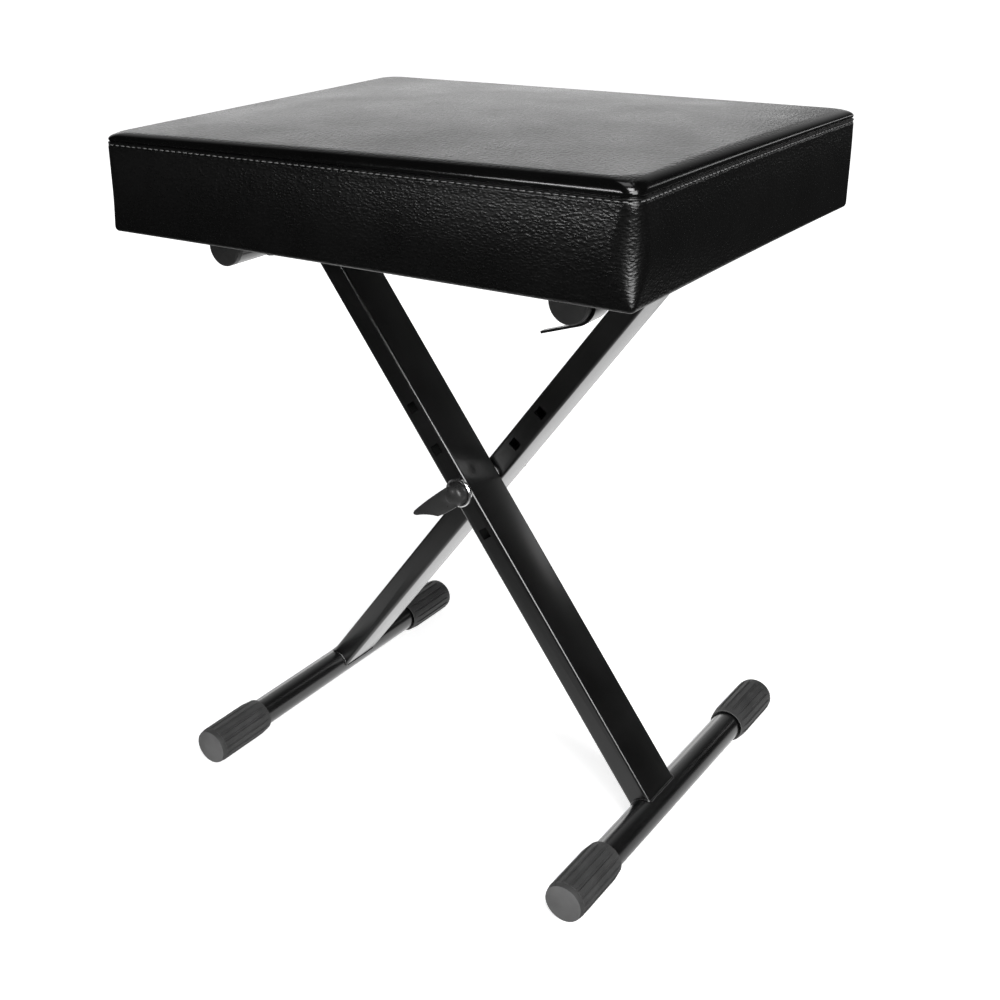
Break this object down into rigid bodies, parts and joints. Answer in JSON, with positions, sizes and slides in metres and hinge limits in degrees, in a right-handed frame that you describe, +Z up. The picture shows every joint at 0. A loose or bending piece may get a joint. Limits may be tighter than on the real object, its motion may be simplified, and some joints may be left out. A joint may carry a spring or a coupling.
{
  "type": "folding keyboard bench",
  "caption": "Padded black seat on two crossed flat steel legs with tube feet and rubber caps; the legs fold about a bolt with a clamp lever.",
  "frame": {"origin": "on the floor, under the middle of the seat", "axes": "+X along the seat's long side towards the end that unhooks, +Y from the clamp lever's side to the back, +Z up"},
  "size_m": [0.448, 0.361, 0.5515],
  "materials": {
    "leatherette": "satin",
    "plywood": "matte",
    "dust_cloth": "matte",
    "painted_steel": "satin",
    "black_plastic": "satin",
    "rubber": "matte",
    "chrome": "polished",
    "zinc": "satin",
    "nylon": "satin"
  },
  "bodies": {
    "front_frame": {"front_leg": "painted_steel", "hinge_tube": "painted_steel", "right_foot": "painted_steel", "hinge_tube_plug_front": "black_plastic", "hinge_tube_plug_back": "black_plastic", "right_foot_cap_front": "rubber", "right_foot_cap_back": "rubber", "cup_washer": "chrome", "pivot_spacer": "nylon"},
    "rear_frame": {"rear_leg": "painted_steel", "catch_tube": "painted_steel", "left_foot": "painted_steel", "catch_tube_plug_front": "black_plastic", "catch_tube_plug_back": "black_plastic", "left_foot_cap_front": "rubber", "left_foot_cap_back": "rubber", "pivot_bolt": "zinc"},
    "clamp": {"clamp_lever": "black_plastic", "lever_insert": "zinc"},
    "seat": {"seat_cushion": "leatherette", "seat_board": "plywood", "dust_cover": "dust_cloth", "hinge_saddle_front": "painted_steel", "catch_hook_front": "painted_steel", "saddle_screw_front_inner": "zinc", "saddle_screw_front_outer": "zinc", "hook_screw_front_inner": "zinc", "hook_screw_front_outer": "zinc", "hinge_saddle_back": "painted_steel", "catch_hook_back": "painted_steel", "saddle_screw_back_inner": "zinc", "saddle_screw_back_outer": "zinc", "hook_screw_back_inner": "zinc", "hook_screw_back_outer": "zinc"}
  },
  "joints": [
    {"name": "leg_fold", "type": "hinge", "parent": "front_frame", "child": "rear_frame", "pos_m": [0.008, 0, 0.25646], "axis": [0, -1, 0], "range_deg": [0, 61]},
    {"name": "seat_tilt", "type": "hinge", "parent": "front_frame", "child": "seat", "pos_m": [-0.142, 0, 0.45917], "axis": [0, -1, 0], "range_deg": [0, 30.5]},
    {"name": "clamp_turn", "type": "hinge", "parent": "rear_frame", "child": "clamp", "pos_m": [0.008, -0.05, 0.25646], "axis": [0, -1, 0], "range_deg": [0, 360]}
  ],
  "couplings": [
    {"joint": "seat_tilt", "follows": "leg_fold", "ratio": 0.5}
  ]
}
